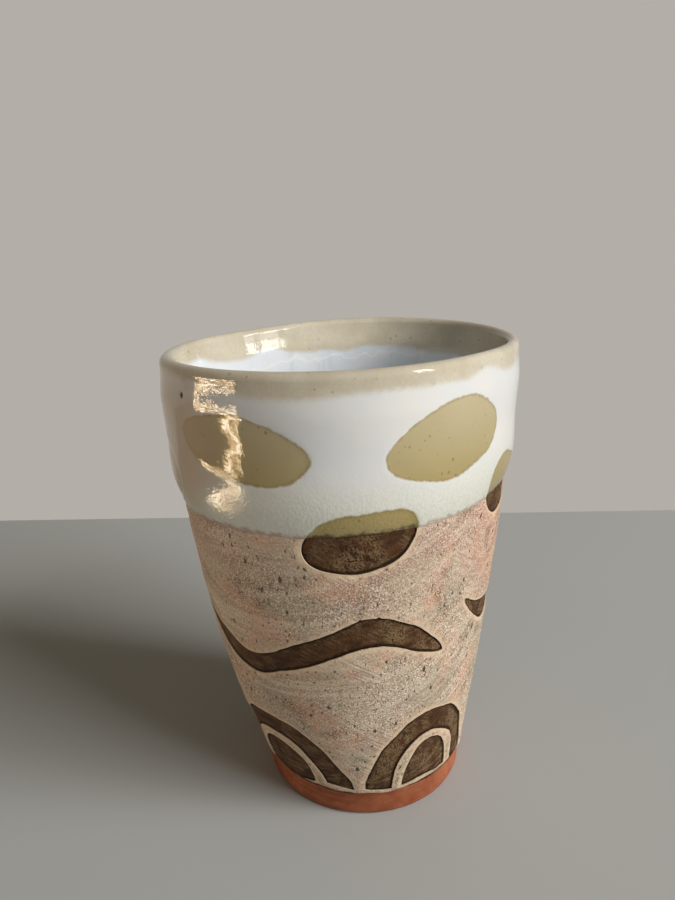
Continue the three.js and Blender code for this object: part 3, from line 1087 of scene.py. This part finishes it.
shown_rows = steps_between(slip_foot, show_to, pale_row)
hidden_rows = steps_between(show_to, pale_top, pale_hidden_row)
turn, z = turned_grid(np.concatenate([shown_rows, hidden_rows, [pale_top]]), slip_columns)
z = waved(z, pale_edge(turn), slip_foot)
turn, z, side = pull_to_outlines(turn, z, pale_row)
whole_cells, three_cornered = faces_outside(side)
numbers = brush_numbers(turn, z)
gap = np.where(side == 0, 0, numbers["window_gap"])
front = squeeze(wall_radius(z) + pale_skin(turn, z, gap), turn, z)
behind = squeeze(wall_radius(z) + pale_inner - pale_in_dark, turn, z)
both = {label: np.concatenate([values, values]) for label, values in numbers.items()}
pale_faces = closed_sheet(whole_cells, three_cornered, back=turn.size)
pale_coat = make_piece("pale_slip", np.concatenate([front, behind]), pale_faces, both)
settle(pale_coat, "pale_slip_coat", pale_slip)

# %% [markdown]
# ## Dip glaze
#
# The cup was dipped upside down and turned upright while the glaze still ran, so it gathered along the band's
# lower edge. It begins thin there, swells to about a millimetre within a few millimetres and gets thinner
# again further up. Over a window it sinks a little. It goes over the lip and ends inside, where the liner
# glaze takes over. Below the lip inside both are thicker, from when the cup was still upside down.

# %% Thickness of the dip glaze
edge_thickness = 0.06 * mm
swell_height = 6.5 * mm
fade_height = 18 * mm
window_dip = 0.14 * mm
dip_fade = 1.5 * mm
wave_slow = 0.05 * mm
wave_quick = 0.02 * mm
thin_from = pale_top - 4 * mm
thin = fused_gap + glaze_thickness


def glaze_edge(turn):
    wave = 0.45 * wobble(turn, 0 * turn, 14 * mm, seed=51) + 0.15 * wobble(turn, 0 * turn, 3 * mm, seed=52)
    return glaze_line + mm * wave


def glaze_skin(turn, z, gap):
    """How far the dip glaze's face stands off the clay, on the outside."""
    up = np.maximum(z - glaze_edge(turn), 0)
    swelling = 1 - (1 - np.minimum(up / swell_height, 1)) ** 2
    settled = smooth_step(up, swell_height, fade_height)
    thickness = edge_thickness + glaze_roll * swelling - (glaze_roll - glaze_thickness) * settled
    in_window = 1 - smooth_step(gap, -0.9 * mm, 0.6 * mm)
    at_edge = np.exp(-up / dip_fade)
    sunk = in_window * ((pale_outer - dark_outer) * at_edge + window_dip * (1 - at_edge))
    uneven = wave_slow * wobble(turn, z, 8 * mm, seed=53) + wave_quick * wobble(turn, z, 2.5 * mm, seed=54)
    full = pale_outer + thickness - sunk + uneven * smooth_step(up, 0, 3 * mm)
    return full + (thin - full) * smooth_step(z, thin_from, lip_centre)


swollen = glaze_skin(np.zeros(1), glaze_line + swell_height, 5 * mm) - pale_outer
print("Thickness of the dip glaze at its swelling, in mm:", (swollen / mm).round(2))

# %% Where both glazes meet inside
overlap = 1.5 * mm
meeting_slope = 0.02
inner_swell = 0.6 * mm
swell_full, swell_fall, swell_ends = 5.5 * mm, 7 * mm, 30 * mm
inner_wave = 0.06 * mm


def inside_skin(turn, z):
    """How far both glazes stand off the clay inside. Where they meet, their faces cross at a flat angle."""
    below = lip_centre - z
    swell = inner_swell * smooth_step(below, 0, swell_full) * (1 - smooth_step(below, swell_fall, swell_ends))
    uneven = inner_wave * (1 + wobble(turn, z, 9 * mm, seed=61)) * smooth_step(below, 0, 3 * mm)
    return thin + swell - uneven


print("The two glazes overlap by, in mm:", 2 * overlap / mm)

# %% Face of the dip glaze
glaze_columns = 480
edge_fall = 9 * mm
low_rows = steps_between(glaze_line, glaze_line + swell_height, 0.35 * mm)
high_rows = steps_between(glaze_line + swell_height, lip_centre, 0.6 * mm)
outer_rows = np.concatenate([low_rows, high_rows])
outer_turn, outer_z = turned_grid(outer_rows, glaze_columns)
fall = 1 - smooth_step(outer_z, glaze_line, glaze_line + edge_fall)
outer_z = outer_z + (glaze_edge(outer_turn) - glaze_line) * fall
outer_gap = window_gap(outer_turn, outer_z)
outer_radius = wall_radius(outer_z) + glaze_skin(outer_turn, outer_z, outer_gap)
lip_radius, lip_turn, lip_z = turned_profile(*round_lip(thin, np.linspace(0, math.pi, 19)), glaze_columns)
down_rows = steps_after(lip_centre, inside_line - overlap, 0.5 * mm)
down_turn, down_z = turned_grid(down_rows, glaze_columns)
down_off = inside_skin(down_turn, down_z) - meeting_slope * np.clip(inside_line - down_z, -overlap, overlap)
down_radius = inner_radius(down_z) - down_off
outer, lip = (outer_turn, outer_z, outer_radius), (lip_turn, lip_z, lip_radius)
face = joined(outer, lip, (down_turn, down_z, down_radius))
print("The dip glaze's face has", face[0].shape[0], "rows")

# %% [markdown]
# The hidden back of the glaze follows the lip at the clay's face and comes down outside just under the dark
# slip's face, so no gap shows in a window. The material needs three more numbers for each point: the way to
# the lip's crest, the height above the band's lower edge, and the place of a few pinholes, small pits where a
# bubble burst in the kiln.

# %% Back of the dip glaze, and its pinholes
back_row = 2 * mm
glaze_in_dark = 0.1 * mm
back_down = steps_between(inside_line - overlap, lip_centre, back_row)
lip_radius, lip_height = round_lip(0, np.linspace(math.pi, 0, 7))
back_up = steps_after(lip_centre, glaze_line, back_row)
back_rows = np.concatenate([back_down, lip_height, back_up])
under_pale = (dark_outer - glaze_in_dark) * smooth_step(back_up, lip_centre, pale_top - 1 * mm)
back_profile = np.concatenate([inner_radius(back_down), lip_radius, wall_radius(back_up) + under_pale])
back_radius, back_turn, back_z = turned_profile(back_profile, back_rows, glaze_columns)
outside = np.arange(len(back_rows))[:, None] >= len(back_down)
lift = (1 - smooth_step(back_z, glaze_line, glaze_line + edge_fall)) * outside
back_z = back_z + (glaze_edge(back_turn) - glaze_line) * lift
glaze_turn, glaze_z, glaze_radius = joined(face, (back_turn, back_z, back_radius))

# A pinhole's angle in degrees, its height and its radius.
pinholes = [(177.5, 104.3 * mm, 0.75 * mm), (92, 97 * mm, 0.6 * mm), (318, 83.5 * mm, 0.5 * mm)]
pinhole_depth = 0.25 * mm
pit = np.zeros(glaze_turn.shape)
for angle, up, size in pinholes:
    across = turn_from(angle, glaze_turn) * wall_radius(up)
    spread = np.hypot(across / size, (glaze_z - up) / (1.5 * size))
    on_face = glaze_radius > wall_radius(glaze_z)
    pit = np.maximum(pit, np.where(on_face, 1 - np.minimum(spread, 1), 0))
crest = np.argmax(glaze_z[:, 0])
steps = np.hypot(np.diff(glaze_radius, axis=0), np.diff(glaze_z, axis=0))
travel = np.concatenate([np.zeros((1, glaze_columns)), np.cumsum(steps, axis=0)])
glaze_numbers = {
    "window_gap": window_gap(glaze_turn, glaze_z),
    "below_lip": travel[crest] - travel,
    "above_edge": glaze_z - glaze_edge(glaze_turn),
    "pinhole": pit,
}
glaze_points = squeeze(glaze_radius - pinhole_depth * pit, glaze_turn, glaze_z)
glaze_faces = grid_faces(*glaze_turn.shape, closed=True)
dip_glaze = make_piece("outer_glaze", glaze_points, glaze_faces, glaze_numbers, crease=60)
settle(dip_glaze, "dip_glaze", cream_glaze)

# %% [markdown]
# ## Liner glaze
#
# The liner covers the floor, the soft corner that the coil makes, and the wall up to where the dip glaze
# ends. The coil's hollow face is a curve with three control points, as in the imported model. The liner's face
# is that path moved into the hollow by the thickness of the glaze.

# %% Liner glaze
liner_columns = 360
wall_foot = floor_thickness + fused_gap
coil_top = wall_foot + coil_reach


def liner_path(step):
    """Points along the clay that the liner covers, from the middle of the floor to its upper edge."""
    corner = np.array([inner_radius(wall_foot) - fused_gap, wall_foot])
    start = corner - [coil_reach, 0]
    end = np.array([inner_radius(coil_top) - fused_gap, coil_top])
    share = np.linspace(0, 1, 13)[:, None]
    curve = start * (1 - share) ** 2 + corner * 2 * share * (1 - share) + end * share**2
    across = steps_between(0, start[0], step)
    flat = np.stack([across, np.full(len(across), wall_foot)], axis=1)
    up = steps_after(coil_top, inside_line + overlap, step)
    return np.concatenate([flat, curve, np.stack([inner_radius(up), up], axis=1)])


def moved_inwards(path, distance):
    along = np.gradient(path, axis=0)
    along[0] = [1, 0]
    side = np.stack([-along[:, 1], along[:, 0]], axis=1)
    shifted = path + distance * side / np.hypot(*side.T)[:, None]
    shifted[0, 0] = 0
    return shifted


face_path = moved_inwards(liner_path(1 * mm), thin)[::-1]
back_path = moved_inwards(liner_path(6 * mm), fused_gap)
profile = np.concatenate([back_path, face_path])
radius, turn, z = turned_profile(profile[:, 0], profile[:, 1], liner_columns)
is_face = np.arange(len(profile))[:, None] >= len(back_path)
poured = inside_skin(turn, z) - thin + meeting_slope * np.clip(inside_line - z, -overlap, overlap)
liner_points = squeeze(radius - poured * is_face * (radius > 0), turn, z)
liner = make_piece("inner_glaze", liner_points, grid_faces(*turn.shape, closed=False), {}, crease=60)
settle(liner, "liner_glaze", white_glaze)

# %% [markdown]
# ## Camera
#
# The camera looks down on the cup at the angle of the photograph, from close by and with a phone's wide lens,
# so the cup narrows towards its foot in the picture as well as in fact.

# %% Camera
camera_place = Vector((-112.96, -104.52, 132.7)) * mm
looks_down = math.radians(17.62)
heading = math.radians(-45)
camera_roll = math.radians(-0.89)
camera_data = bpy.data.cameras.new("camera")
camera_data.lens = 27.15
camera_data.clip_start = 5 * mm
camera = put_in_scene("camera", camera_data)
facing = Matrix.Rotation(heading, 4, "Z") @ Matrix.Rotation(math.pi / 2 - looks_down, 4, "X")
camera.matrix_world = Matrix.Translation(camera_place) @ facing @ Matrix.Rotation(camera_roll, 4, "Z")
bpy.context.scene.camera = camera
print("Camera to the cup's foot, in mm:", round(camera_place.length / mm, 1))

# %% [markdown]
# ## Table and room
#
# The cup stands on a plain pale table top that ends a little way behind it. Behind that is only the room's
# own even tone, which the camera and the glossy glaze see as a calm pale grey. What the room adds to the
# light on matt surfaces is weaker and warmer.

# %% Table
ahead = Vector((math.sin(-heading), math.cos(-heading), 0))
table_behind = 157 * mm
table_front = 900 * mm
table_half_wide = 900 * mm
table_thick = 25 * mm
table_mesh = bpy.data.meshes.new("table")
bench = bmesh.new()
bmesh.ops.create_cube(bench, size=1)
bench.to_mesh(table_mesh)
bench.free()
table = put_in_scene("table", table_mesh)
depth = table_front + table_behind
table.scale = (2 * table_half_wide, depth, table_thick)
middle = ahead * (table_behind - depth / 2)
table.location = (middle.x, middle.y, -table_thick / 2)
table.rotation_euler.z = heading
table_paint, tree = finish_of("table paint", Specular_IOR_Level=0.0, Roughness=0.6)
tone = cloudy(place_of(tree), 0.3)
connect(cover(tone, paint("#bfc4c7"), paint("#c5cacc")))
table_mesh.materials.append(table_paint)

# %% Room light
world = bpy.data.worlds.new("room")
world.use_nodes = True
bpy.context.scene.world = world
tree = world.node_tree
tree.nodes.clear()
seen = add("LightPath", tree=tree)
shows = calc("MAXIMUM", seen.outputs["Is Camera Ray"], seen.outputs["Is Glossy Ray"])
backdrop = add("Background", {"Color": paint("#b3afa8"), "Strength": 1.0}, tree=tree)
fill = add("Background", {"Color": paint("#d2c3ab"), "Strength": 0.21}, tree=tree)
mix = add("MixShader", {0: shows, 1: fill.outputs[0], 2: backdrop.outputs[0]})
add("OutputWorld", {0: mix.outputs[0]})
print("Made the room's light")

# %% [markdown]
# ## Light
#
# One large soft lamp stands high to the right and a little in front, as a window would, and throws the cup's
# shadow to the left. The glaze doesn't mirror it, because a lamp so large would show there as a wide blot.
# What the glaze mirrors are two tall narrow panes, each with a dimmer lower part, as of a window with bars.
# A weak warm lamp low on the left keeps the shaded side readable.

# %% Lamps


def soft_lamp(name, azimuth, elevation, distance, size, watts, colour):
    """An area lamp that looks at the cup. Azimuth 0 is ahead of the camera and 90 is to its right."""
    turn, rise = math.radians(azimuth) - heading, math.radians(elevation)
    towards = Vector((math.sin(turn) * math.cos(rise), math.cos(turn) * math.cos(rise), math.sin(rise)))
    data = bpy.data.lights.new(name, "AREA")
    data.shape = "RECTANGLE"
    data.size, data.size_y = size
    data.energy = watts
    data.color = paint(colour)[:3]
    lamp = put_in_scene(name, data)
    lamp.location = towards * distance + Vector((0, 0, cup_height / 2))
    lamp.rotation_euler = towards.to_track_quat("Z", "Y").to_euler()
    print(name, "at", [round(c, 2) for c in lamp.location])
    return lamp


def window_pane(azimuth, elevation, tall, watts):
    return soft_lamp("window pane", azimuth, elevation, 2.4, (0.21, tall), watts, "#fffaf3")


soft_light = soft_lamp("window light", 115, 28, distance=2.4, size=(1.46, 1.6), watts=51, colour="#fffaf3")
side_light = soft_lamp("side light", -98, 1, distance=2.0, size=(1.0, 0.14), watts=5, colour="#ffcf9e")
for lamp in (soft_light, side_light):
    lamp.visible_glossy = False
for azimuth in (100.4, 107.2):
    window_pane(azimuth, elevation=17.8, tall=0.88, watts=6.6)
    window_pane(azimuth, elevation=3.6, tall=0.29, watts=0.75)

# %% [markdown]
# ## The gleam on the left
#
# On the left the glaze mirrors a stretch of table that the sun falls on. A flat glowing card lies there, just
# above the table, and is seen in reflections alone, so it neither lights nor shades anything that is matt.
# Its rows follow what the glaze mirrors from the camera's side. Noise leaves holes in it, brightens it here
# and there and breaks the gleam into glints.

# %% Warm gleam on the glaze
# For each row of the card: its distance from the cup, and the azimuths of its two ends.
gleam_rows = [
    (125 * mm, -100, -112),
    (165 * mm, -97, -124),
    (205 * mm, -103, -124),
    (240 * mm, -117, -127),
    (290 * mm, -113, -126),
    (380 * mm, -101, -125),
    (520 * mm, -92, -125),
    (1100 * mm, -88, -125),
]
gleam_mesh = bpy.data.meshes.new("gleam_card")
corners, quads = [], []
for row, (reach, *ends) in enumerate(gleam_rows):
    for azimuth in ends:
        turn = math.radians(azimuth) - heading
        corners.append((reach * math.sin(turn), reach * math.cos(turn), 0.5 * mm))
    if row > 0:
        quads.append((2 * row - 2, 2 * row - 1, 2 * row + 1, 2 * row))
gleam_mesh.from_pydata(corners, [], quads)
gleam = put_in_scene("gleam_card", gleam_mesh)
gleam.visible_camera = gleam.visible_diffuse = gleam.visible_shadow = False
gleam_glow = bpy.data.materials.new("gleam glow")
gleam_glow.use_nodes = True
tree = gleam_glow.node_tree
tree.nodes.clear()
broken = noise(place_of(tree), 1 / (60 * mm), 7.0, Roughness=0.7)
strength = plus(5.0, fade(broken, 0.48, 0.58), 14.0)
shine = cover(fade(broken, 0.5, 0.6), paint("#ffd394"), paint("#fff0d8"))
glow = add("Emission", {"Color": shine, "Strength": strength})
clear = add("BsdfTransparent", tree=tree)
patches = fade(broken, 0.43, 0.47)
mix = add("MixShader", {0: patches, 1: clear.outputs[0], 2: glow.outputs[0]})
add("OutputMaterial", {0: mix.outputs[0]})
gleam_mesh.materials.append(gleam_glow)
print("The gleam's card has", len(quads), "faces")

# %% [markdown]
# ## Plain colours
#
# The picture shows colours as they are, without the soft curve of film.

# %% Plain colours on screen
bpy.context.scene.view_settings.view_transform = "Standard"
